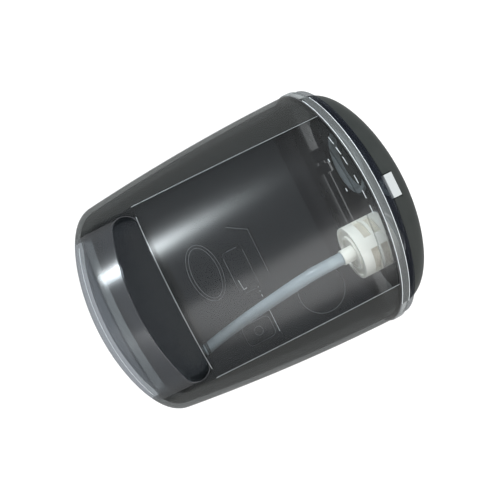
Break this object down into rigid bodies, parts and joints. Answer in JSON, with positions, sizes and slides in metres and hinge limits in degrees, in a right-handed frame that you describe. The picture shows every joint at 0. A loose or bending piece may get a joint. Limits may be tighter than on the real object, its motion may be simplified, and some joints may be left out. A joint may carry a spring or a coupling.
{
  "type": "clean water tank",
  "caption": "Smoky see-through clean water tank with a D-shaped section, arched handle band, hinged end lid, spring outlet valve, filter cage and inner suction hose",
  "frame": {"origin": "middle of the footprint, on the surface that the tank's flat back rests on", "axes": "+X along the tank towards the lid and outlet, +Y across it, +Z out of the bulging front"},
  "size_m": [0.136, 0.1248, 0.0874],
  "materials": {
    "smoky_plastic": "grey see-through plastic, polished in the window and fine satin on the sides",
    "clear_plastic": "polished clear plastic",
    "lid_plastic": "dark grey satin plastic",
    "white_plastic": "warm white moulded plastic",
    "mesh": "fine woven nylon mesh",
    "dark_rubber": "matt rubber",
    "silicone": "milky translucent silicone",
    "steel": "bright drawn steel"
  },
  "bodies": {
    "tank": {"front_shell": "smoky_plastic", "rear_shell": "smoky_plastic", "handle_band": "clear_plastic", "end_gasket": "dark_rubber", "end_plate": "clear_plastic", "hinge_pin": "steel", "outlet_fitting": "white_plastic", "outlet_o_ring": "dark_rubber", "fitting_nut": "white_plastic", "stem_guide": "white_plastic", "valve_spring": "steel", "filter_cage": "white_plastic", "filter_mesh": "mesh", "filter_seal": "silicone", "filter_cap": "white_plastic", "suction_hose": "silicone", "breather_valve": "silicone"},
    "lid": {"lid": "lid_plastic", "lid_liner": "lid_plastic", "lid_seal": "silicone"},
    "poppet": {"valve_poppet": "white_plastic", "poppet_seal": "dark_rubber"}
  },
  "joints": [
    {"name": "lid_hinge", "type": "hinge", "parent": "tank", "child": "lid", "pos_m": [0.063, 0, 0.0075], "axis": [0, 1, 0], "range_deg": [0, 90]},
    {"name": "valve_slide", "type": "slide", "parent": "tank", "child": "poppet", "axis": [-1, 0, 0], "range_m": [0, 0.003], "stiffness_N_per_m": 300, "springref_m": -0.004, "deforming": ["valve_spring"]}
  ]
}
